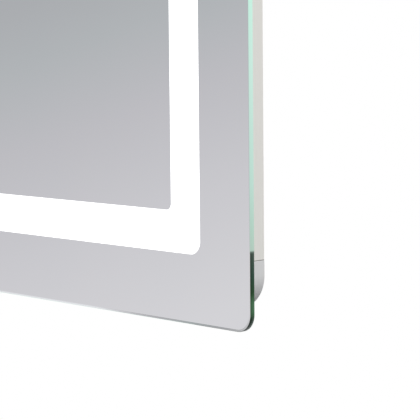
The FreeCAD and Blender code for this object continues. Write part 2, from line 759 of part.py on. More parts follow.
# ---------------------------------------------------------------- back plate


def plate_screw_points(side):
    return [side_point(side, along, RAIL_MIDDLE) for along in rail_screws(side)]


def bead_outline(up, half_length, width):
    """A long outline that tapers at both ends over a third of its width."""
    taper = width / 3
    left, right = -half_length, half_length
    low, high = up - width / 2, up + width / 2
    return [
        (left + taper, low), (right - taper, low), (right, low + taper), (right, high - taper),
        (right - taper, high), (left + taper, high), (left, high - taper), (left, low + taper),
    ]


def make_plate():
    plate = new_body("back_plate")
    sheet = S.plate_thickness
    margin = S.frame_inset + S.rail_wall + S.plate_gap
    corner = S.corner_radius - S.rail_wall - S.corner_proud - S.plate_gap
    add(plate, "sheet", [mirror_face(margin, corner)], 0, sheet)
    # the cable recess is a pressed tray that stands into the mirror
    tray = block(
        0, RECESS_RISE, S.recess_width + 2 * sheet, S.recess_height + 2 * sheet,
        S.recess_corner + sheet,
    )
    add(plate, "tray", [tray], 0, S.recess_depth + sheet)
    inside = block(0, RECESS_RISE, S.recess_width, S.recess_height, S.recess_corner)
    cut(plate, "recess", [inside], 0, S.recess_depth)
    way = Circle(0, RECESS_RISE, GROMMET_HUB + S.grommet_gap)
    cut(plate, "cable_hole", [way], S.recess_depth, S.recess_depth + sheet)
    # beads pressed inward stiffen the sheet between the recess and the bottom channel: a ridge
    # inside and a groove behind
    pitch = (RECESS_LOW + INNER_UP) / (S.bead_count + 1)
    lowest = pitch - INNER_UP
    half_length = INNER_ACROSS - S.bead_margin
    ridge = bead_outline(lowest, half_length, S.bead_width)
    groove = bead_outline(lowest, half_length - sheet, S.bead_width - 2 * sheet)
    top = add(plate, "bead", [ridge], sheet / 2, sheet + S.bead_height)
    repeat(plate, "beads", top, "V_Axis", pitch, S.bead_count)
    hollow = cut(plate, "groove", [groove], 0, S.bead_height)
    repeat(plate, "grooves", hollow, "V_Axis", pitch, S.bead_count)
    # each keyhole is a round way in with a slot above it, which ends round
    slot = S.keyhole_slot
    end = KEYHOLE_RISE + S.keyhole_travel
    places = [-KEYHOLE_ACROSS, KEYHOLE_ACROSS]
    for name, shapes in (
        ("keyholes", [Circle(x, KEYHOLE_RISE, S.keyhole_radius) for x in places]),
        ("keyhole_slots", [rectangle(x - slot, KEYHOLE_RISE, x + slot, end) for x in places]),
        ("keyhole_ends", [Circle(x, end, slot) for x in places]),
    ):
        cut(plate, name, shapes, 0, sheet)
    for side in SIDES:
        holes = [polygon(*point, SCREW_HOLE, SCREW_FLATS) for point in plate_screw_points(side)]
        cut(plate, f"{side}_screw_holes", holes, 0, sheet)
        sinks = cut(plate, f"{side}_countersinks", holes, 0, SINK_DEPTH)
        sinks.TaperAngle = COUNTERSINK_SLOPE


def make_screws():
    """Countersunk sheet-metal screws, their heads just below the back of the plate."""
    sections = [
        (SCREW_HEAD, S.head_recess),
        (S.screw_radius, S.head_recess + SINK_DEPTH),
        (S.screw_radius, S.screw_length),
    ]
    points = [point for side in SIDES for point in plate_screw_points(side)]
    group("plate_screws", faceted_solid(SCREW_FLATS, sections), points)


def make_keyhole_cups():
    """Pressed cups behind the keyholes keep the wall screws' heads off the wiring."""
    wall = S.cup_wall
    for name, across in (("left", -KEYHOLE_ACROSS), ("right", KEYHOLE_ACROSS)):
        cup = new_body(f"keyhole_cup_{name}", across, PLATE_FRONT, CUP_RISE)
        wings = block(0, 0, S.cup_width + 2 * S.cup_flange, S.cup_height)
        add(cup, "flange", [wings], 0, wall)
        crown = block(0, 0, S.cup_width, S.cup_height, S.cup_corner)
        add(cup, "crown", [crown], 0, S.cup_depth)
        room = block(
            0, 0, S.cup_width - 2 * wall, S.cup_height - 2 * wall, S.cup_corner - wall
        )
        cut(cup, "room", [room], 0, S.cup_depth - wall)


# ---------------------------------------------------------------- light


def mitre_cuts(body, length, outer, width):
    """Cuts both ends of a bar at 45 degrees, half the mitre gap inside the true joint."""
    reach = length / 2 - outer - S.mitre_gap / 2
    for name, way in (("right", 1), ("left", -1)):
        waste = [
            ((reach + SPARE) * way, outer - SPARE),
            ((reach + SPARE) * way, outer + width + SPARE),
            ((reach - width - SPARE) * way, outer + width + SPARE),
        ]
        cut(body, f"{name}_mitre", [waste], 0, S.depth)


def mitred_bar(name, side, section, outer, width):
    """A bar of one section along a side, mitred at both ends."""
    length = SIDES[side][3]
    bar = side_body(name, side)
    reach = length / 2 - outer
    add(bar, "bar", section, -reach, reach, "YZ_Plane")
    mitre_cuts(bar, length, outer, width)
    return bar


def channel_section():
    wall, ledge = S.channel_wall, S.channel_ledge
    low, high = CHANNEL_OUT, CHANNEL_IN
    ledge_front = -(CHANNEL_FRONT - S.cover_thickness - S.cover_gap)
    ledge_back = ledge_front + ledge
    floor = -(CHANNEL_BACK + wall)
    return [
        [
            (-CHANNEL_BACK, low), (-CHANNEL_FRONT, low), (-CHANNEL_FRONT, low + wall),
            (ledge_front, low + wall), (ledge_front, low + wall + ledge),
            (ledge_back, low + wall + ledge), (ledge_back, low + wall), (floor, low + wall),
            (floor, high - wall), (ledge_back, high - wall), (ledge_back, high - wall - ledge),
            (ledge_front, high - wall - ledge), (ledge_front, high - wall),
            (-CHANNEL_FRONT, high - wall), (-CHANNEL_FRONT, high), (-CHANNEL_BACK, high),
        ]
    ]


def cover_section():
    """An opal sheet on the channel's ledges, with two legs that hold between them."""
    gap, leg = S.cover_gap, S.cover_thickness
    low = CHANNEL_OUT + S.channel_wall + gap
    high = CHANNEL_IN - S.channel_wall - gap
    front = -(CHANNEL_FRONT - gap)
    back = front + S.cover_thickness
    toe = back + S.cover_leg
    in_low = low + S.channel_ledge
    in_high = high - S.channel_ledge
    return [
        [
            (front, low), (back, low), (back, in_low), (toe, in_low), (toe, in_low + leg),
            (back, in_low + leg), (back, in_high - leg), (toe, in_high - leg), (toe, in_high),
            (back, in_high), (back, high), (front, high),
        ]
    ]


def lead_square(across, up):
    """The square outline of a way for one lead."""
    return block(across, up, 2 * LEAD_HOLE, 2 * LEAD_HOLE)


def make_light():
    for side, (_, _, _, length) in SIDES.items():
        channel = mitred_bar(
            f"light_channel_{side}", side, channel_section(), CHANNEL_OUT, CHANNEL_WIDTH
        )
        if side == "bottom":
            way = lead_square(SENSOR_ACROSS, -SENSOR_HEIGHT)
            low, high = CHANNEL_OUT - SPARE, CHANNEL_IN + SPARE
            cut(channel, "sensor_lead_way", [way], low, high, "XY_Plane")
        if side == "left":
            way = lead_square(-DRIVER_RISE, -LEAD_HEIGHT)
            low, high = CHANNEL_IN - S.channel_wall - SPARE, CHANNEL_IN + SPARE
            cut(channel, "light_lead_way", [way], low, high, "XY_Plane")
        tape = side_body(f"channel_tape_{side}", side)
        width = CHANNEL_WIDTH - 2 * S.channel_tape_inset
        strip = block(0, CHANNEL_MIDDLE, length - 2 * CHANNEL_IN, width)
        add(tape, "strip", [strip], PLATE_FRONT, CHANNEL_BACK)
        mitred_bar(f"opal_cover_{side}", side, cover_section(), CHANNEL_OUT, CHANNEL_WIDTH)
        make_strip(side, length)


def make_strip(side, length):
    """A light strip along the channel's floor, with chips at an even pitch."""
    strip = side_body(f"light_strip_{side}", side)
    floor = CHANNEL_BACK + S.channel_wall
    board = floor + S.strip_thickness
    run = length - 2 * (CHANNEL_MIDDLE + S.strip_end)
    add(strip, "board", [block(0, CHANNEL_MIDDLE, run, S.strip_width)], floor, board)
    count = ((run - S.chip_length) / S.chip_pitch).whole()
    first = -S.chip_pitch * (count - 1) / 2
    chip = block(first, CHANNEL_MIDDLE, S.chip_length, S.chip_width)
    one = add(strip, "chip", [chip], board, board + S.chip_height)
    repeat(strip, "chips", one, "H_Axis", S.chip_pitch, count)


# ---------------------------------------------------------------- inside


def make_shell(tray_name, lid_name, across, up, length, width, tall, lead_ways):
    """An open moulded tray with holes in its walls for leads, and a lid whose lip drops in it.

    Each lead way is (wall of the tray, place along it, height above the wall plane).
    """
    wall = S.shell_wall
    top = SHELL_LOW + tall
    tray = new_body(tray_name, across, 0, up)
    add(tray, "outside", [block(0, 0, length, width, S.shell_corner)], SHELL_LOW, top - wall)
    room = block(0, 0, length - 2 * wall, width - 2 * wall)
    cut(tray, "room", [room], SHELL_FLOOR, top - wall)
    for number, (side, along, height) in enumerate(lead_ways, 1):
        if side == "low":
            plane, square, reach = "XY_Plane", lead_square(along, -height), width / 2
        else:
            plane, square, reach = "YZ_Plane", lead_square(-height, along), length / 2
        low, high = reach - wall - SPARE, reach + SPARE
        if side != "right":
            low, high = -high, -low
        cut(tray, f"lead_way_{number}", [square], low, high, plane)
    lid = new_body(lid_name, across, 0, up)
    add(lid, "plate", [block(0, 0, length, width, S.shell_corner)], top - wall, top)
    outer, inner = 2 * (wall + S.lid_gap), 2 * (2 * wall + S.lid_gap)
    lip = [block(0, 0, length - edge, width - edge) for edge in (outer, inner)]
    add(lid, "lip", lip, top - wall - tall * S.lid_share, top - wall)


# What the driver's board carries, as (name, outlines about its middle, share of the room's height).
BOARD_PARTS = (
    ("transformer", [block(8, 0, 24, 20)], 0.77),
    ("core", [block(8, 0, 10, 26)], 0.64),
    ("capacitors", [polygon(-26, 8, 5, BOARD_FLATS), polygon(-26, -7, 5, BOARD_FLATS)], 0.72),
    ("choke", [polygon(40, 0, 7, BOARD_FLATS)], 0.55),
    ("chips", [block(-44, 8, 9, 7), block(-44, -7, 12, 9)], 0.16),
)


def make_driver():
    lead_ways = [
        ("right", Size(0), LEAD_HEIGHT),
        ("left", Size(0), LEAD_HEIGHT),
        ("low", SENSOR_LEAD_IN - DRIVER_ACROSS, LEAD_HEIGHT),
    ]
    make_shell(
        "driver_case", "driver_lid", DRIVER_ACROSS, DRIVER_RISE,
        S.driver_length, S.driver_width, DRIVER_HEIGHT, lead_ways,
    )
    board = new_body("driver_board", DRIVER_ACROSS, 0, DRIVER_RISE)
    face = SHELL_FLOOR + S.board_thickness
    length = S.driver_length - 2 * (S.shell_wall + S.board_end)
    width = S.driver_width - 2 * (S.shell_wall + S.board_side)
    add(board, "sheet", [block(0, 0, length, width)], SHELL_FLOOR, face)
    room = SHELL_LOW + DRIVER_HEIGHT - S.shell_wall - face
    for name, shapes, share in BOARD_PARTS:
        add(board, name, shapes, face, face + room * share)


def make_junction_box():
    lead_ways = [
        ("left", DRIVER_RISE - BOX_RISE, LEAD_HEIGHT),
        ("low", HEATER_LEAD_ACROSS - BOX_ACROSS, LEAD_HEIGHT),
        ("low", EARTH_ACROSS - BOX_ACROSS, EARTH_LEAD_HEIGHT),
    ]
    make_shell(
        "junction_box", "junction_lid", BOX_ACROSS, BOX_RISE,
        S.box_length, S.box_width, BOX_HEIGHT, lead_ways,
    )
    pitch, width = S.terminal_pitch, S.terminal_width
    poles = [-pitch, Size(0), pitch]
    # a third of the block's height is the wire's way, and its screw stands in the upper half
    tall = (BOX_HEIGHT - 2 * S.shell_wall) * S.terminal_share
    top, shelf = SHELL_FLOOR + tall, SHELL_FLOOR + tall / 2
    terminals = new_body("terminal_block", BOX_ACROSS, 0, BOX_RISE)
    add(terminals, "bar", [block(0, 0, len(poles) * pitch, width)], SHELL_FLOOR, top)
    slots = [block(pole, 0, S.terminal_gap, width + SPARE) for pole in (-pitch / 2, pitch / 2)]
    cut(terminals, "gaps", slots, shelf, top)
    well = 2 * (S.terminal_screw + S.screw_gap)
    wells = [block(pole, 0, well, well) for pole in poles]
    cut(terminals, "screw_wells", wells, shelf, top)
    ways = [block(pole, -SHELL_FLOOR - tall / 4, tall / 3, tall / 3) for pole in poles]
    reach = width / 2 + SPARE
    cut(terminals, "wire_ways", ways, -reach, reach, "XY_Plane")
    screws = new_body("terminal_screws", BOX_ACROSS, 0, BOX_RISE)
    screws.AllowCompound = True
    rounds = [polygon(pole, 0, S.terminal_screw, LEAD_FLATS) for pole in poles]
    add(screws, "screws", rounds, shelf, shelf + tall / 4)


def make_mounting_tapes():
    """Foam pads hold the driver and the junction box to the plate."""
    for name, across, up, length, width in (
        ("driver_tape", DRIVER_ACROSS, DRIVER_RISE, S.driver_length, S.driver_width),
        ("junction_tape", BOX_ACROSS, BOX_RISE, S.box_length, S.box_width),
    ):
        tape = new_body(name, across, 0, up)
        pad = block(0, 0, length - 2 * S.pad_inset, width - 2 * S.pad_inset)
        add(tape, "pad", [pad], PLATE_FRONT, SHELL_LOW)


def make_heater():
    heater = new_body("demister_pad")
    half = INNER_ACROSS - S.heater_margin
    foil = rectangle(-half, HEATER_LOW, half, HEATER_TOP)
    add(heater, "foil", [foil], HEATER_BACK, BACKING_BACK)
    tail_middle = HEATER_TOP - S.tail_inset - S.tail_length / 2
    tail = block(HEATER_LEAD_ACROSS, tail_middle, S.tail_width, S.tail_length)
    add(heater, "terminal", [tail], HEATER_BACK - S.tail_height, HEATER_BACK)
    way = lead_square(HEATER_LEAD_ACROSS, -HEATER_LEAD_HEIGHT)
    cut(heater, "lead_way", [way], tail_middle, HEATER_TOP + SPARE, "XY_Plane")


def make_grommet():
    """A rubber ring with two lips that hold the recess's floor between them."""
    grommet = new_body("cable_grommet", 0, S.recess_depth, RECESS_RISE, 90, (1, 0, 0))
    sheet, bore, hub, rim = S.plate_thickness, S.grommet_bore, GROMMET_HUB, S.grommet_rim
    lip = hub + S.grommet_lip
    revolve(
        grommet, "ring",
        [
            (bore, -rim), (lip, -rim), (lip, 0), (hub, 0), (hub, sheet),
            (lip, sheet), (lip, sheet + rim), (bore, sheet + rim),
        ],
    )


def make_earth():
    """A stud welded to the plate, with the earth lead's tag under a nut."""
    place = EARTH_ACROSS, PLATE_FRONT, EARTH_RISE
    foot = S.earth_foot_height
    tag_low = foot + S.tag_gap
    tag_high = tag_low + S.tag_thickness
    nut_low = tag_high + S.tag_gap
    stud = new_body("earth_stud", *place)
    add(stud, "foot", [polygon(0, 0, S.earth_foot, SCREW_FLATS)], 0, foot)
    add(stud, "shank", [polygon(0, 0, S.earth_stud, SCREW_FLATS)], foot, S.earth_length)
    nut = new_body("earth_nut", *place)
    thread = polygon(0, 0, S.earth_stud + S.thread_gap, SCREW_FLATS)
    hexagon = polygon(0, 0, S.earth_nut, NUT_FLATS)
    add(nut, "hexagon", [hexagon, thread], nut_low, nut_low + S.earth_nut_height)
    tag = new_body("earth_tag", *place)
    neck = rectangle(-S.tag_neck / 2, S.earth_stud, S.tag_neck / 2, S.tag_reach)
    half = S.tag_barrel / 2
    barrel = rectangle(-half, S.tag_reach - 2 * half, half, S.tag_reach)
    add(tag, "ring", [polygon(0, 0, S.tag_ring, SCREW_FLATS)], tag_low, tag_high)
    add(tag, "neck", [neck], tag_low, tag_high)
    add(tag, "barrel", [barrel], tag_low, tag_low + S.tag_height)
    eye = polygon(0, 0, S.earth_stud + S.tag_gap, SCREW_FLATS)
    cut(tag, "eye", [eye], tag_low, tag_high)


def make_sensor():
    """A hand sensor through the underside of the bottom rail, held by a nut inside."""
    place = SENSOR_ACROSS, SENSOR_HEIGHT, -S.height / 2
    face = S.frame_inset
    rim_low = face - S.sensor_rim
    seat = face + S.sensor_window
    barrel = new_body("sensor_barrel", *place)
    revolve(
        barrel, "barrel",
        [
            (0, seat), (SENSOR_WINDOW, seat), (SENSOR_WINDOW, rim_low), (SENSOR_RIM, rim_low),
            (SENSOR_RIM, face), (SENSOR_RADIUS, face), (SENSOR_RADIUS, SENSOR_TOP),
            (0, SENSOR_TOP),
        ],
    )
    lens = new_body("sensor_lens", *place)
    lens_low = rim_low + S.sensor_sunk
    revolve(
        lens, "lens",
        [(0, seat), (0, lens_low), (SENSOR_WINDOW, lens_low), (SENSOR_WINDOW, seat)],
    )
    nut = new_body("sensor_nut", *place)
    hexagon = polygon(0, 0, RAIL_ROOM - S.sensor_nut, NUT_FLATS)
    high = RAIL_INSIDE + S.sensor_nut_height
    add(nut, "hexagon", [hexagon, Circle(0, 0, SENSOR_HOLE)], RAIL_INSIDE, high, "XY_Plane")


def bent_lead(name, points, bend, radius):
    """A lead along straight runs joined by tangent arcs, its round drawn with a few flats."""
    places = [Vector(x.value, -height.value, z.value) for x, height, z in points]
    edges = []
    start = places[0]
    for before, corner, after in zip(places, places[1:], places[2:]):
        inbound = (corner - before).normalize()
        outbound = (after - corner).normalize()
        half_turn = inbound.getAngle(outbound) / 2
        setback = bend.value * math.tan(half_turn)
        first = corner - inbound * setback
        last = corner + outbound * setback
        inner = (outbound - inbound).normalize()
        middle = corner + inner * (bend.value / math.cos(half_turn) - bend.value)
        edges.append(Part.LineSegment(start, first).toShape())
        edges.append(Part.Arc(first, middle, last).toShape())
        start = last
    edges.append(Part.LineSegment(start, places[-1]).toShape())
    path = Part.Wire(edges)
    facing = Rotation(Vector(0, 0, 1), places[1] - places[0])
    turns = [2 * math.pi * side / LEAD_FLATS for side in range(LEAD_FLATS + 1)]
    ring = [Vector(math.cos(turn), math.sin(turn), 0) * radius.value for turn in turns]
    section = Part.makePolygon([places[0] + facing.multVec(point) for point in ring])
    solid = path.makePipeShell([section], True, False)
    area = LEAD_FLATS / 2 * math.sin(2 * math.pi / LEAD_FLATS) * radius.value**2
    expected = area * path.Length
    if abs(solid.Volume / expected - 1) > LEAD_TOLERANCE:
        raise RuntimeError(f"{name} has a wrong volume")
    lead = doc.addObject("Part::Feature", name)
    lead.Label = name
    lead.Shape = solid
    NODES.append(lead)


def make_leads():
    """Sheathed leads from wall to wall inside the mirror, each end tucked through its wall."""
    bend, radius, height = S.lead_bend, S.lead_radius, LEAD_HEIGHT
    tuck = S.shell_wall + S.lead_tuck
    channel_wall = -INNER_ACROSS - S.channel_wall
    bent_lead(
        "light_lead",
        [
            (DRIVER_LEFT + tuck, height, DRIVER_RISE),
            (channel_wall - S.lead_tail, height, DRIVER_RISE),
        ],
        bend, radius,
    )
    bent_lead(
        "mains_lead",
        [(BOX_LEFT + tuck, height, DRIVER_RISE), (DRIVER_RIGHT - tuck, height, DRIVER_RISE)],
        bend, radius,
    )
    # from the box down to the glass, over the middle third of the way to the pad
    third = S.heater_drop / 3
    bent_lead(
        "demister_lead",
        [
            (HEATER_LEAD_ACROSS, height, BOX_LOW + tuck),
            (HEATER_LEAD_ACROSS, height, BOX_LOW - third),
            (HEATER_LEAD_ACROSS, HEATER_LEAD_HEIGHT, BOX_LOW - 2 * third),
            (HEATER_LEAD_ACROSS, HEATER_LEAD_HEIGHT, HEATER_TOP - S.tail_length / 2),
        ],
        bend, radius,
    )
    bent_lead(
        "earth_lead",
        [
            (EARTH_ACROSS, EARTH_LEAD_HEIGHT, BOX_LOW + S.shell_wall),
            (EARTH_ACROSS, EARTH_LEAD_HEIGHT, EARTH_RISE + S.tag_reach),
        ],
        bend, S.earth_lead,
    )
    # straight through both walls of the bottom channel, down to the plate, and up to the driver,
    # with wide bends and two equal slopes
    wide = 2 * S.lead_bend
    slope = 2 * wide
    bent_lead(
        "sensor_lead",
        [
            (SENSOR_ACROSS, SENSOR_HEIGHT, SENSOR_TOP - S.height / 2),
            (SENSOR_ACROSS, SENSOR_HEIGHT, S.sensor_reach - INNER_UP),
            (SENSOR_ACROSS, SENSOR_LEAD_LOW, S.sensor_reach + slope - INNER_UP),
            (SENSOR_ACROSS, SENSOR_LEAD_LOW, DRIVER_LOW - wide - slope),
            (SENSOR_LEAD_IN, height, DRIVER_LOW - wide),
            (SENSOR_LEAD_IN, height, DRIVER_LOW + tuck),
        ],
        wide, radius,
    )


def make_clips():
    """Saddles that hold the sensor lead to the plate, evenly spaced along it."""
    clips = new_body("lead_clips")
    clips.AllowCompound = True
    low, high = S.clip_end - INNER_UP, DRIVER_LOW - S.clip_end
    pitch = (high - low) / (S.clip_count - 1)
    top = SENSOR_LEAD_LOW + LEAD_HOLE + S.clip_wall
    saddle_width = 2 * (LEAD_HOLE + S.clip_wall)
    foot = block(SENSOR_ACROSS, low, S.clip_width, S.clip_length)
    saddle = block(SENSOR_ACROSS, low, saddle_width, S.clip_length)
    feet = add(clips, "foot", [foot], PLATE_FRONT, PLATE_FRONT + S.clip_wall)
    repeat(clips, "feet", feet, "V_Axis", pitch, S.clip_count)
    saddles = add(clips, "saddle", [saddle], PLATE_FRONT, top)
    repeat(clips, "saddles", saddles, "V_Axis", pitch, S.clip_count)
    way = lead_square(SENSOR_ACROSS, -SENSOR_LEAD_LOW)
    cut(clips, "way", [way], low - S.clip_length, high + S.clip_length, "XY_Plane")


def check_model():
    """Stops on a failed object, a broken or empty solid, and a pocket that cuts nothing."""
    doc.recompute()
    for item in doc.Objects:
        if "Invalid" in item.State or "Error" in item.State:
            raise RuntimeError(f"{item.Name} didn't recompute: {item.State}")
        if item.TypeId == "PartDesign::Pocket":
            if not item.Shape.Volume < item.BaseFeature.Shape.Volume - CLOSE:
                raise RuntimeError(f"{item.Name} cuts nothing")
    for node in NODES:
        shape = node.Shape
        if shape.isNull() or not shape.isValid() or not shape.Solids:
            raise RuntimeError(f"{node.Label} has no valid solid")


def export_parts():
    os.makedirs("parts", exist_ok=True)
    for node in NODES:
        node.Shape.exportStep(f"parts/{node.Label}.step")
        print(f"{node.Label}: {len(node.Shape.Solids)} solid(s), {node.Shape.Volume:.1f} mm3")


make_glass()
make_silver()
make_glass_tapes()
make_rails()
make_corners()
make_plate()
make_screws()
make_keyhole_cups()
make_light()
make_driver()
make_junction_box()
make_mounting_tapes()
make_heater()
make_grommet()
make_earth()
make_sensor()
make_leads()
make_clips()
check_model()
export_parts()
print(f"{len(NODES)} nodes")
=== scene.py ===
"""The look of a lighted bathroom mirror: glass with a lit band, aluminium frame and steel back.

Lengths are in metres. The wall is the plane Y = 0, the mirror faces -Y and Z is up. "Inset" is
the distance inward from the edge of the glass, and "height" the distance from the wall to the
room. The left and right edges are its side edges, top and bottom its level edges.
"""

import math

import bpy
import numpy as np
from mathutils import Matrix, Vector


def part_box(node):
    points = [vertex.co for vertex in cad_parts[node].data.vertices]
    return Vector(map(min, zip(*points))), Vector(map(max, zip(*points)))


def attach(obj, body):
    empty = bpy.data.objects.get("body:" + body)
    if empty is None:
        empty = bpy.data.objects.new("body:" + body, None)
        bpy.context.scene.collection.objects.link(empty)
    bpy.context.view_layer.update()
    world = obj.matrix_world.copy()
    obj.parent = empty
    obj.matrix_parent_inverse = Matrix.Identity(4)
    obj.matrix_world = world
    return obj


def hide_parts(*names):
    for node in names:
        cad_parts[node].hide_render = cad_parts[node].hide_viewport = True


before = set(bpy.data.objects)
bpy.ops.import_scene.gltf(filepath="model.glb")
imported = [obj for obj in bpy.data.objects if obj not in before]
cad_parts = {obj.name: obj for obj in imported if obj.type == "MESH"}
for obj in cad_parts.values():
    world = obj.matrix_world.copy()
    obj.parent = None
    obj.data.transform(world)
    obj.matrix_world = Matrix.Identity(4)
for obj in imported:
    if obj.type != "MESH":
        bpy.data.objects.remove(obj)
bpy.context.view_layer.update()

MM = 0.001
# the part has this one body
BODY = "root"

# ---------------------------------------------------------------- sizes

glass_low, glass_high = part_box("mirror_glass")
rail_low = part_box("rail_right")[0]

HALF_WIDTH = glass_high.x
HALF_HEIGHT = glass_high.z
GLASS_FRONT = -glass_low.y
GLASS_BACK = -glass_high.y
GLASS_CORNER = 13 * MM
BAND_MARGIN = 50 * MM
BAND_WIDTH = 30 * MM
BAND_OUTER_CORNER = 10 * MM
BAND_INNER_CORNER = 5 * MM
# the ground edge is rounded over, less at the rear than at the front
FRONT_ROUND = 0.4 * MM
REAR_ROUND = 0.15 * MM
# how far the silver keeps away from the edge, and how far the face is ground at the level edges
BARE_RIM = 0.7 * MM
LEVEL_RIM = 1.6 * MM
# how far from the corner of the glass the rails meet the corner pieces, along either side
JOINT = HALF_HEIGHT + rail_low.z
# the line of painted shadow on the rail, and the painted highlight along the corner piece's rim, at
# each joint
JOINT_LINE = 0.5 * MM
# the stretch from each corner over which the colours of the edge are given
EDGE_REACH = 300 * MM

# ---------------------------------------------------------------- camera

# solved from the straight edges and corner arcs in the photograph, a frame of 420 by 420 pixels
CAMERA_PLACE = Vector((1.0781, -0.8404, -0.1499))
CAMERA_YAW = math.radians(46.81)
CAMERA_PITCH = math.radians(-5.63)
CAMERA_ROLL = math.radians(-0.53)
FOCAL_PIXELS = 1717.8
FRAME_PIXELS = 420
SENSOR_MM = 36


def make_camera():
    """A level camera turned by its yaw about Z, tilted by its pitch, then rolled about its view."""
    data = bpy.data.cameras.new("camera")
    data.sensor_width = SENSOR_MM
    data.lens = FOCAL_PIXELS / FRAME_PIXELS * SENSOR_MM
    data.clip_start = 10 * MM
    camera = bpy.data.objects.new("camera", data)
    bpy.context.scene.collection.objects.link(camera)
    forward = Vector((
        -math.sin(CAMERA_YAW) * math.cos(CAMERA_PITCH),
        math.cos(CAMERA_YAW) * math.cos(CAMERA_PITCH),
        math.sin(CAMERA_PITCH),
    ))
    level_right = forward.cross(Vector((0, 0, 1))).normalized()
    level_up = level_right.cross(forward)
    right = level_right * math.cos(CAMERA_ROLL) + level_up * math.sin(CAMERA_ROLL)
    up = level_up * math.cos(CAMERA_ROLL) - level_right * math.sin(CAMERA_ROLL)
    turn = Matrix((right, up, -forward)).transposed()
    camera.matrix_world = Matrix.Translation(CAMERA_PLACE) @ turn.to_4x4()
    bpy.context.scene.camera = camera


# ---------------------------------------------------------------- colours


def grey(level):
    return level, level, level


def shade(colour, factor):
    """A colour made darker or lighter by a factor, white at most."""
    return tuple(min(1.0, channel * factor) for channel in colour)


BLACK = grey(0)
SILVER = (0.955, 0.965, 0.975)
# a painted reflection: what the rear of the glass edge pales to at the level edges
REFLECTED_PALE_GREEN = (0.25, 0.33, 0.29)
JOINT_SHADE = (0.16, 0.15, 0.14)
JOINT_HIGHLIGHT = grey(0.74)

# the tables below hold colours along the edge of the glass: (millimetres from its corner, colour)

# the side of the glass: green with painted shade and reflection, and the band's painted glow
SIDE_GREEN_AND_PAINTED_SHADE = [
    (3.5, (0.09, 0.11, 0.10)), (6.5, (0.024, 0.045, 0.03)), (9, (0.004, 0.022, 0.006)),
    (15, (0.05, 0.14, 0.065)), (21, (0.05, 0.14, 0.065)), (28, (0.010, 0.052, 0.014)),
    (40, (0.016, 0.054, 0.034)), (56, (0.045, 0.075, 0.056)), (58, (0.03, 0.05, 0.04)),
]
SIDE_PAINTED_GLOW = [
    (0, BLACK), (56, BLACK), (57.5, (0.42, 0.56, 0.48)), (70, (0.42, 0.60, 0.51)),
    (103, (0.48, 0.69, 0.61)), (184, (0.56, 0.80, 0.71)), (222, (0.55, 0.85, 0.73)),
]
# painted reflections on the bare strip of the face along the side edges, and on its ground strip
# along the level edges
RIM_SIDE_REFLECTION = [
    (0, (0.80, 0.82, 0.81)), (12, (0.84, 0.82, 0.81)), (40, (0.93, 0.91, 0.89)),
    (54, (0.93, 0.93, 0.90)), (60, (0.76, 0.80, 0.78)), (100, (0.70, 0.76, 0.75)),
    (222, (0.70, 0.80, 0.77)),
]
RIM_LEVEL_REFLECTION = [
    (0, (0.74, 0.76, 0.75)), (25, (0.56, 0.575, 0.58)), (60, (0.56, 0.62, 0.61)),
    (95, (0.66, 0.67, 0.68)), (125, (0.80, 0.81, 0.82)), (160, (0.95, 0.96, 0.97)),
]
# a painted glow: the light of the band that the ground strip catches
RIM_PAINTED_GLOW = [(120, BLACK), (170, (0.16, 0.17, 0.17))]

# across the ground strip, as shares of its width: a darker line along each side of its painted
# reflection
RIM_DARK_LINES = [(0.2, grey(0.86)), (0.45, grey(1)), (0.65, grey(1)), (0.85, grey(0.82))]
# through the glass, as shares of its thickness from the front: the front half is painted darker and
# the rear half lighter, and the painted reflection that pales the level edges grows over this
# stretch
SIDE_HALVES_LIGHT_AND_SHADE = [(0.35, grey(0.85)), (0.6, grey(1.15))]
PALING_STRETCH = (0.35, 0.9)

# ---------------------------------------------------------------- shader helpers


class Wiring:
    """A node tree being wired, of a material or of the world."""

    def __init__(self, tree):
        self.tree = tree

    def node(self, kind, inputs=None, **settings):
        """A new node with its settings, and its inputs given as values or as sockets to link."""
        node = self.tree.nodes.new(kind)
        for name, value in settings.items():
            setattr(node, name, value)
        for key, value in (inputs or {}).items():
            if isinstance(value, bpy.types.NodeSocket):
                self.tree.links.new(value, node.inputs[key])
            else:
                node.inputs[key].default_value = value
        return node

    def maths(self, operation, *values):
        inputs = dict(enumerate(values))
        return self.node("ShaderNodeMath", inputs, operation=operation).outputs[0]

    def split(self, vector):
        """The axes of a vector, by the names X, Y and Z."""
        return self.node("ShaderNodeSeparateXYZ", {"Vector": vector}).outputs

    def share(self, value, low, high, run="LINEAR"):
        """How far a value is on its way from low to high, from 0 to 1."""
        inputs = {"Value": value, "From Min": low, "From Max": high}
        return self.node("ShaderNodeMapRange", inputs, interpolation_type=run).outputs[0]

    def ramp(self, value, stops):
        """Colours along a value: (place, colour) stops."""
        node = self.node("ShaderNodeValToRGB", {"Fac": value})
        band = node.color_ramp
        for index, (place, colour) in enumerate(stops):
            stop = band.elements[index] if index < 2 else band.elements.new(place)
            stop.position = place
            stop.color = (*colour, 1)
        return node.outputs["Color"]

    def mix(self, share, first, second, blend="MIX"):
        """Goes from one colour to another with a share. A colour may also be a socket."""
        inputs = {"Fac": share}
        for key, colour in (("Color1", first), ("Color2", second)):
            inputs[key] = colour if isinstance(colour, bpy.types.NodeSocket) else (*colour, 1)
        return self.node("ShaderNodeMixRGB", inputs, blend_type=blend).outputs[0]


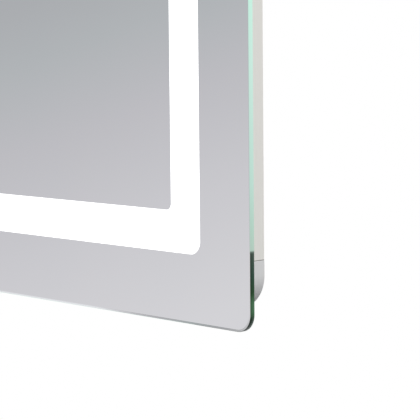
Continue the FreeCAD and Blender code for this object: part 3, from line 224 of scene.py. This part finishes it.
class Finish(Wiring):
    """A material being wired, with its main shader and the object's own coordinates."""

    def __init__(self, name, colour, roughness, metallic=0.0):
        self.material = bpy.data.materials.new(name)
        self.material.use_nodes = True
        super().__init__(self.material.node_tree)
        self.shader = self.tree.nodes["Principled BSDF"]
        self.fix("Base Color", (*colour, 1))
        self.fix("Roughness", roughness)
        self.fix("Metallic", metallic)
        self.coordinates = self.node("ShaderNodeTexCoord").outputs["Object"]

    def fix(self, name, value):
        """Sets what is the same all over the surface."""
        self.shader.inputs[name].default_value = value

    def link(self, source, name):
        """Lets a socket drive what changes over the surface."""
        self.tree.links.new(source, self.shader.inputs[name])

    def stretched(self, scale):
        """The object's coordinates, with a scale of its own for each axis."""
        inputs = {"Vector": self.coordinates, "Scale": scale}
        return self.node("ShaderNodeMapping", inputs).outputs[0]

    def noise(self, scale, detail, vector=None):
        inputs = {"Vector": vector or self.coordinates, "Scale": scale, "Detail": detail}
        return self.node("ShaderNodeTexNoise", inputs).outputs["Fac"]

    def cells(self, scale):
        """Cells of no fixed shape, as the distance to the middle of the nearest one."""
        inputs = {"Vector": self.coordinates, "Scale": scale}
        return self.node("ShaderNodeTexVoronoi", inputs).outputs["Distance"]

    def clouded(self, value, dark, light):
        """Two near shades along the middle range of a noise."""
        return self.ramp(value, [(0.3, dark), (0.7, light)])

    def vary_colour(self, value, dark, light):
        self.link(self.clouded(value, dark, light), "Base Color")

    def vary_roughness(self, value, low, high):
        inputs = {"Value": value, "To Min": low, "To Max": high}
        self.link(self.node("ShaderNodeMapRange", inputs).outputs[0], "Roughness")

    def bump(self, value, depth, strength=1.0):
        inputs = {"Height": value, "Distance": depth, "Strength": strength}
        self.link(self.node("ShaderNodeBump", inputs).outputs[0], "Normal")


def from_edges(made):
    """How far a point is from the nearest side edge of the mirror, and the nearest level one."""
    axes = made.split(made.coordinates)
    from_side = made.maths("SUBTRACT", HALF_WIDTH, made.maths("ABSOLUTE", axes["X"]))
    from_end = made.maths("SUBTRACT", HALF_HEIGHT, made.maths("ABSOLUTE", axes["Z"]))
    return from_side, from_end


def along_edge(made):
    """How far a point of the rim is from the nearest corner of the mirror, along its side."""
    return made.maths("MAXIMUM", *from_edges(made))


def round_rim(made):
    """The inset of a point of the rim, followed round the corners, and how level its edge is.

    The inset is the corner's radius less the length of (radius - from_side, radius - from_end),
    each not below zero. The second of these over that length is 0 along the side edges and 1
    along the level ones, and turns from one to the other round the corner.
    """
    into = [made.maths("MAXIMUM", made.maths("SUBTRACT", GLASS_CORNER, away), 0.0)
            for away in from_edges(made)]
    squares = [made.maths("MULTIPLY", part, part) for part in into]
    length = made.maths("SQRT", made.maths("ADD", *squares))
    return made.maths("SUBTRACT", GLASS_CORNER, length), made.maths("DIVIDE", into[1], length)


def edge_ramps(made, *tables):
    """For each table of (millimetres from the corner, colour), the colours along the edge."""
    share = made.maths("DIVIDE", along_edge(made), EDGE_REACH)
    return [made.ramp(share, [(place * MM / EDGE_REACH, colour) for place, colour in table])
            for table in tables]


# ---------------------------------------------------------------- finishes of the glass


def mirror_silver():
    """Silvered glass: a clean reflection, faintly cool, with wipe marks in its gloss."""
    made = Finish("mirror_silver", SILVER, 0.0, metallic=1.0)
    marks = made.noise(9, 3, made.stretched((1, 1, 0.35)))
    made.vary_roughness(marks, 0.002, 0.012)
    made.vary_colour(marks, (0.95, 0.962, 0.97), (0.965, 0.97, 0.975))
    return made.material


def lit_band():
    """Sandblasted glass with the light behind it: even white, with a grain that shows unlit."""
    made = Finish("lit_band", grey(0.9), 0.75)
    made.fix("Specular IOR Level", 0.2)
    made.fix("Emission Strength", 1.0)
    grain = made.noise(5200, 2)
    made.vary_colour(grain, grey(0.88), grey(0.93))
    made.link(made.clouded(made.noise(30, 1), (0.985, 0.99, 0.995), grey(1)), "Emission Color")
    made.bump(grain, 0.01 * MM)
    return made.material


def glass_side():
    """The green of a glass edge, with painted light and shade on it. A painted glow makes it mint
    where the lit band runs beside it, and painted shade makes it deep green within the last stretch
    before each corner, which the band doesn't reach. Its rear half is painted a little lighter than
    its front half, and a painted reflection pales it where the edge turns level."""
    made = Finish("glass_side", (0.03, 0.07, 0.035), 0.12)
    made.fix("IOR", 1.25)
    made.fix("Emission Strength", 0.95)
    # the edge's green with painted shade and reflection along it, and the painted glow beside the
    # band
    unlit, lit = edge_ramps(made, SIDE_GREEN_AND_PAINTED_SHADE, SIDE_PAINTED_GLOW)
    sunk = made.maths("ADD", made.split(made.coordinates)["Y"], GLASS_FRONT)
    depth = made.maths("DIVIDE", sunk, GLASS_FRONT - GLASS_BACK)
    # the front half painted darker and the rear half lighter, as painted shade and light
    green = made.mix(1.0, unlit, made.ramp(depth, SIDE_HALVES_LIGHT_AND_SHADE), blend="MULTIPLY")
    turned = round_rim(made)[1]
    # a painted reflection pales the rear of the edge where it turns level
    paling = made.maths("MULTIPLY", made.share(depth, *PALING_STRETCH), turned)
    made.link(made.mix(paling, green, REFLECTED_PALE_GREEN), "Base Color")
    # a painted glow on the edge where the band runs beside it
    made.link(lit, "Emission Color")
    made.bump(made.noise(1500, 2), 0.01 * MM)
    return made.material


def glass_rim():
    """The outer strip of the face and the start of its rounding, which mirror the room as the face
    does. Painted reflection gives the bare glass a cool green tint where its edge glows, and makes
    the ground strip of the level edges greyer near the corners, with darker lines along each side
    of it, and a painted glow of the band's light far from the corners."""
    made = Finish("glass_rim", grey(0.9), 0.1, metallic=1.0)
    made.fix("Emission Strength", 1.0)
    # painted reflections along the bare strip and the ground strip, and the ground strip's painted
    # glow
    beside, level, painted_glow = edge_ramps(made, RIM_SIDE_REFLECTION, RIM_LEVEL_REFLECTION, RIM_PAINTED_GLOW)
    inset, turned = round_rim(made)
    bare = made.maths("LESS_THAN", inset, BARE_RIM)
    upright = made.mix(bare, SILVER, beside)
    # darker lines along each side of the ground strip's painted reflection
    dark_lines = made.ramp(made.maths("DIVIDE", inset, LEVEL_RIM), RIM_DARK_LINES)
    ground = made.mix(1.0, level, dark_lines, blend="MULTIPLY")
    made.link(made.mix(turned, upright, ground), "Base Color")
    # the painted glow of the band's light on the ground strip
    made.link(made.mix(turned, BLACK, painted_glow), "Emission Color")
    made.bump(made.noise(900, 3), 0.01 * MM)
    return made.material


# ---------------------------------------------------------------- finishes of the frame and back


def anodised(name, stretch):
    """Satin anodised extrusion: a fine silky grain along its length, warm and almost even, and a
    dark line of shadow where it butts against the corner pieces."""
    made = Finish(name, (0.72, 0.71, 0.68), 0.42, metallic=0.9)
    lines = made.noise(1.0, 4, made.stretched(stretch))
    satin = made.clouded(lines, (0.70, 0.69, 0.655), (0.74, 0.73, 0.70))
    past_joint = made.maths("SUBTRACT", along_edge(made), JOINT)
    shadow = made.maths("LESS_THAN", past_joint, JOINT_LINE)
    made.link(made.mix(shadow, satin, JOINT_SHADE), "Base Color")
    made.vary_roughness(lines, 0.36, 0.48)
    made.bump(lines, 0.02 * MM, 0.35)
    return made.material


def spark_texture():
    """Moulded grey plastic with the fine, even pitting of an eroded mould, and a painted highlight
    along its rim where it butts against the rails."""
    made = Finish("spark_texture", (0.63, 0.63, 0.635), 0.5)
    pits = made.noise(3800, 3)
    cloud = made.clouded(made.noise(40, 2), (0.615, 0.615, 0.62), (0.645, 0.645, 0.65))
    # a painted highlight along the rim next to the joint with the rail
    before_joint = made.maths("SUBTRACT", JOINT, along_edge(made))
    rim = made.maths("LESS_THAN", before_joint, JOINT_LINE)
    made.link(made.mix(rim, cloud, JOINT_HIGHLIGHT), "Base Color")
    made.vary_roughness(pits, 0.42, 0.6)
    made.bump(pits, 0.02 * MM, 0.5)
    return made.material


def powder_coat():
    """Fine-grained white powder coating, with a soft orange peel."""
    made = Finish("powder_coat", (0.82, 0.82, 0.81), 0.5)
    peel = made.noise(900, 3)
    made.vary_colour(made.noise(12, 3), (0.80, 0.80, 0.79), (0.84, 0.84, 0.83))
    made.vary_roughness(peel, 0.42, 0.58)
    made.bump(peel, 0.04 * MM, 0.5)
    return made.material


def zinc():
    """Bright zinc plating, clouded in crystals."""
    made = Finish("zinc", (0.68, 0.69, 0.7), 0.32, metallic=1.0)
    spangle = made.cells(420)
    made.vary_colour(spangle, (0.62, 0.63, 0.645), (0.74, 0.745, 0.75))
    made.vary_roughness(spangle, 0.22, 0.42)
    return made.material


def mill_aluminium():
    """Unfinished extrusion, unevenly dull."""
    made = Finish("mill_aluminium", (0.77, 0.77, 0.78), 0.34, metallic=1.0)
    haze = made.noise(700, 3)
    made.vary_roughness(haze, 0.26, 0.44)
    made.vary_colour(haze, (0.74, 0.74, 0.75), (0.8, 0.8, 0.81))
    return made.material


def soft_plastic(name, colour, roughness):
    """A moulded or sheathed plain piece: even colour with a fine grain."""
    made = Finish(name, colour, roughness)
    fine = made.noise(1800, 3)
    made.vary_colour(made.noise(60, 2), shade(colour, 0.95), shade(colour, 1.04))
    made.vary_roughness(fine, roughness * 0.85, roughness * 1.15)
    made.bump(fine, 0.02 * MM, 0.4)
    return made.material


def foam():
    """Closed-cell foam: small round cells that show as pits."""
    made = Finish("foam", (0.86, 0.86, 0.84), 0.9)
    pores = made.cells(2600)
    made.vary_colour(pores, (0.8, 0.8, 0.78), (0.9, 0.9, 0.88))
    made.bump(pores, 0.1 * MM, 0.6)
    return made.material


def backing_paint():
    """Grey protective paint over the silver, sprayed and slightly mottled."""
    made = Finish("backing_paint", (0.33, 0.36, 0.36), 0.6)
    mottle = made.noise(160, 4)
    made.vary_colour(mottle, (0.30, 0.33, 0.33), (0.36, 0.39, 0.39))
    made.bump(mottle, 0.02 * MM, 0.4)
    return made.material


def brass():
    """Turned brass, with a patchy tarnish."""
    made = Finish("brass", (0.72, 0.54, 0.26), 0.3, metallic=1.0)
    tarnish = made.noise(240, 4)
    made.vary_colour(tarnish, (0.6, 0.44, 0.2), (0.78, 0.6, 0.31))
    made.vary_roughness(tarnish, 0.22, 0.45)
    return made.material


def heating_foil():
    """Laminated foil with the lines of its heating track showing through."""
    made = Finish("heating_foil", (0.76, 0.76, 0.74), 0.45)
    inputs = {"Vector": made.coordinates, "Scale": 45.0}
    track = made.node("ShaderNodeTexWave", inputs, bands_direction="Z").outputs["Fac"]
    made.vary_colour(track, (0.6, 0.6, 0.58), (0.8, 0.8, 0.78))
    return made.material


# ---------------------------------------------------------------- the sheet of glass

# the points in each corner of an outline, and the turns of a rounding in degrees
CORNER_POINTS = 16
ROUNDING_TURNS = (0, 30, 60, 90)
# edges sharper than this stay sharp
SHARP_ANGLE = math.radians(40)


def rounded_outline(half_width, half_height, radius):
    """Points round a rectangle with round corners, anticlockwise seen from the room.

    At each corner the point is the corner's centre plus the radius times the cosine and sine of
    an angle that turns through a quarter, so that the straight stretches join the corners.
    """
    quarter = np.linspace(0, math.pi / 2, CORNER_POINTS)
    starts = np.arange(4)[:, None] * math.pi / 2
    angles = starts + quarter[None, :] - math.pi / 2
    signs_x = np.array([1, 1, -1, -1])[:, None]
    signs_z = np.array([-1, 1, 1, -1])[:, None]
    across = signs_x * (half_width - radius) + radius * np.cos(angles)
    up = signs_z * (half_height - radius) + radius * np.sin(angles)
    return np.stack([across.ravel(), up.ravel()], axis=1)


def ring_at(inset, height, radius):
    """The outline of the mirror drawn in by an inset, standing at a height from the wall."""
    flat = rounded_outline(HALF_WIDTH - inset, HALF_HEIGHT - inset, radius)
    return np.stack([flat[:, 0], np.full(len(flat), -height), flat[:, 1]], axis=1)


def rounding(size, turns):
    """A quarter round from the face to the side of the glass, as (inset, drop from the face).

    At a turn the inset is the size times one less the sine, the drop the size times one less the
    cosine.
    """
    turn = np.radians(turns)
    return np.stack([size * (1 - np.sin(turn)), size * (1 - np.cos(turn))], axis=1).tolist()


def ring_quads(count, around):
    """The faces of a surface that passes through rings of equal length, all facing outward.

    A point of the surface has two parameters: which ring it is on, and how far round that ring.
    """
    ring = np.arange(count - 1)[:, None] * around
    step = np.arange(around)[None, :]
    after = (step + 1) % around
    corners = [ring + around + step, ring + around + after, ring + after, ring + step]
    return np.stack(corners, axis=2).reshape(-1, 4).tolist()


def glass_profile():
    """The rings of the glass as (inset, height, corner radius), from the middle to the back."""
    front = [(inset, GLASS_FRONT - drop) for inset, drop in rounding(FRONT_ROUND, ROUNDING_TURNS)]
    rear = [(inset, GLASS_BACK + drop)
            for inset, drop in rounding(REAR_ROUND, ROUNDING_TURNS[::-1])]
    rim = [(LEVEL_RIM, GLASS_FRONT), (BARE_RIM, GLASS_FRONT), *front, *rear]
    return [
        (BAND_MARGIN + BAND_WIDTH, GLASS_FRONT, BAND_INNER_CORNER),
        (BAND_MARGIN, GLASS_FRONT, BAND_OUTER_CORNER),
        *((inset, height, GLASS_CORNER - inset) for inset, height in rim),
        (BAND_MARGIN, GLASS_BACK, BAND_OUTER_CORNER),
    ]


def make_glass_sheet(silver, band, edge, rim):
    """The glass: its profile carried round the outline of the mirror.

    Going outward it crosses the mirror's middle, the lit band and the margin, rounds over the
    ground rim, runs down the polished edge and rounds over again to the back.
    """
    rings = [ring_at(*point) for point in glass_profile()]
    around = len(rings[0])
    vertices = np.concatenate(rings)
    middle = list(range(around))
    back = list(range(len(vertices) - around, len(vertices)))[::-1]
    faces = ring_quads(len(rings), around) + [middle, back]

    materials = [silver, band, edge, rim]
    outward = [band, silver, rim, rim, rim]
    worn = outward + [edge] * (len(rings) - 1 - len(outward))
    chosen = [materials.index(material) for material in worn for _ in range(around)]
    chosen += [materials.index(silver), materials.index(edge)]

    mesh = bpy.data.meshes.new("glass_sheet")
    mesh.from_pydata(vertices.tolist(), [], faces)
    for material in materials:
        mesh.materials.append(material)
    mesh.polygons.foreach_set("material_index", np.array(chosen, dtype=np.int32))
    mesh.polygons.foreach_set("use_smooth", np.ones(len(mesh.polygons), dtype=bool))
    mesh.set_sharp_from_angle(angle=SHARP_ANGLE)
    mesh.update()
    piece = bpy.data.objects.new("glass_sheet", mesh)
    bpy.context.scene.collection.objects.link(piece)
    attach(piece, BODY)
    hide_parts("mirror_glass")


# ---------------------------------------------------------------- room

# the room's grey goes with how far up a direction points, less this share of how far right
ROOM_LEAN = 0.56
# a level direction this far to the left meets the middle grey, and the greys run this far above
# and below it
ROOM_MIDDLE = 0.73
ROOM_RUN = 0.25
ROOM_GREYS = [
    (0.0, (0.71, 0.70, 0.72)), (0.17, (0.68, 0.67, 0.692)), (0.32, (0.609, 0.60, 0.627)),
    (0.45, (0.53, 0.523, 0.55)), (0.55, (0.453, 0.47, 0.486)), (0.62, (0.42, 0.43, 0.447)),
    (1.0, (0.36, 0.37, 0.39)),
]
# the turn from the room before the mirror to the white behind it, to each side of the wall
WALL_BLEND = 0.3
# what lights the object softly, from straight down to straight up
SKY_GREYS = [(0.0, grey(0.08)), (0.3, grey(0.13)), (0.5, grey(0.47)), (1.0, grey(0.72))]

FLOOR_DROP = 0.9
FLOOR_REACH = 3.0
FLOOR_POINTS = 96
# what the floor throws up at the object, and what the mirror shows of it
FLOOR_THROWN = grey(0.25)
FLOOR_MIRRORED = (0.56, 0.56, 0.575)

# each lamp's name, place, aim, diameter and power in watts
LAMPS = [
    ("side_lamp", (2.4, -0.5, 2.0), (0.2, 0, -0.1), 1.4, 69),
    ("front_lamp", (-0.8, -2.4, 2.6), (0, 0, 0), 1.8, 50),
    ("rear_lamp", (-1.2, 2.6, 1.6), (0, 0, 0), 1.8, 45),
]


def make_world():
    """A white studio. The camera sees plain white, and metal and glass see it too behind the
    mirror, while the room before the mirror is grey, lighter below than above. What lights the
    object softly is brighter above than below."""
    world = bpy.data.worlds.new("studio")
    bpy.context.scene.world = world
    world.use_nodes = True
    world.node_tree.nodes.clear()
    made = Wiring(world.node_tree)

    def light(colour):
        return made.node("ShaderNodeBackground", {"Color": colour}).outputs[0]

    def choose(share, first, second):
        return made.node("ShaderNodeMixShader", {0: share, 1: first, 2: second}).outputs[0]

    direction = made.split(made.node("ShaderNodeTexCoord").outputs["Generated"])
    lean = made.maths("MULTIPLY", direction["X"], -ROOM_LEAN)
    upward = made.maths("ADD", direction["Z"], lean)
    middle = ROOM_LEAN * ROOM_MIDDLE
    room = made.ramp(made.share(upward, middle - ROOM_RUN, middle + ROOM_RUN), ROOM_GREYS)
    behind = made.share(direction["Y"], -WALL_BLEND, WALL_BLEND, run="SMOOTHSTEP")
    mirrored = light(made.mix(behind, room, grey(0.95)))
    soft = light(made.ramp(made.share(direction["Z"], -1, 1), SKY_GREYS))
    path = made.node("ShaderNodeLightPath").outputs
    unseen = choose(path["Is Glossy Ray"], soft, mirrored)
    seen = choose(path["Is Camera Ray"], unseen, light((1, 1, 1, 1)))
    made.node("ShaderNodeOutputWorld", {"Surface": seen})


def make_floor():
    """A round pale floor well below the mirror, as in a bathroom."""
    turns = np.linspace(0, 2 * math.pi, FLOOR_POINTS, endpoint=False)
    level = np.full(len(turns), -HALF_HEIGHT - FLOOR_DROP)
    rim = np.stack([FLOOR_REACH * np.cos(turns), FLOOR_REACH * np.sin(turns), level], axis=1)
    mesh = bpy.data.meshes.new("floor")
    mesh.from_pydata(rim.tolist(), [], [list(range(len(turns)))])
    made = Finish("pale_floor", grey(0.86), 0.8)
    pale = made.clouded(made.noise(3, 3), grey(0.85), grey(0.87))
    path = made.node("ShaderNodeLightPath").outputs
    soft = made.mix(path["Is Diffuse Ray"], pale, FLOOR_THROWN)
    made.link(made.mix(path["Is Glossy Ray"], soft, FLOOR_MIRRORED), "Base Color")
    mesh.materials.append(made.material)
    floor = bpy.data.objects.new("floor", mesh)
    bpy.context.scene.collection.objects.link(floor)


def make_lamps():
    """Round soft lamps, each turned to what it aims at."""
    for name, place, aim, size, watts in LAMPS:
        data = bpy.data.lights.new(name, "AREA")
        data.shape = "DISK"
        data.size = size
        data.energy = watts
        lamp = bpy.data.objects.new(name, data)
        bpy.context.scene.collection.objects.link(lamp)
        lamp.location = place
        lamp.rotation_euler = (Vector(aim) - Vector(place)).to_track_quat("-Z", "Y").to_euler()


# ---------------------------------------------------------------- what each node wears

# the scale of the anodised grain, along an extrusion and across it
ALONG_GRAIN = 8
ACROSS_GRAIN = 2600

# plain pieces: the finish, its colour and roughness, and the starts of the names of its nodes
PLAIN_PIECES = [
    ("opal_acrylic", (0.93, 0.93, 0.92), 0.35, ["opal_cover"]),
    ("strip_board", (0.92, 0.92, 0.9), 0.4, ["light_strip"]),
    ("white_case", (0.86, 0.86, 0.85), 0.5,
     ["driver_case", "driver_lid", "junction_box", "junction_lid"]),
    ("green_board", (0.08, 0.28, 0.13), 0.35, ["driver_board"]),
    ("natural_nylon", (0.84, 0.82, 0.75), 0.5, ["terminal_block", "lead_clips"]),
    ("black_rubber", (0.025, 0.025, 0.026), 0.6, ["cable_grommet"]),
    ("sensor_black", (0.03, 0.03, 0.032), 0.4, ["sensor_barrel", "sensor_nut"]),
    ("smoked_window", (0.012, 0.004, 0.006), 0.06, ["sensor_lens"]),
    ("lead_sheath", (0.84, 0.84, 0.83), 0.45,
     ["light_lead", "mains_lead", "demister_lead", "sensor_lead"]),
    ("earth_sheath", (0.3, 0.48, 0.08), 0.45, ["earth_lead"]),
]


def paint(material, *starts):
    """Gives a finish to every node whose name begins with one of these."""
    for name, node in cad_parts.items():
        if name.startswith(starts):
            node.data.materials.clear()
            node.data.materials.append(material)


def dress_frame():
    """Gives each node of the frame its finish. The replaced glass gets its own with its piece."""
    level = (ALONG_GRAIN, ACROSS_GRAIN, ACROSS_GRAIN)
    paint(anodised("anodised_level", level), "rail_bottom", "rail_top")
    paint(anodised("anodised_upright", level[::-1]), "rail_left", "rail_right")
    paint(spark_texture(), "corner_")
    paint(powder_coat(), "back_plate")
    paint(zinc(), "plate_screws", "keyhole_cup", "terminal_screws", "earth_stud")
    paint(mill_aluminium(), "light_channel")
    paint(foam(), "glass_tape", "channel_tape", "driver_tape", "junction_tape")
    paint(backing_paint(), "silver_backing")
    paint(heating_foil(), "demister_pad")
    paint(brass(), "earth_nut", "earth_tag")
    for name, colour, roughness, starts in PLAIN_PIECES:
        paint(soft_plastic(name, colour, roughness), *starts)


bpy.context.scene.view_settings.view_transform = "Standard"
make_camera()
make_world()
make_floor()
make_lamps()
dress_frame()
make_glass_sheet(mirror_silver(), lit_band(), glass_side(), glass_rim())
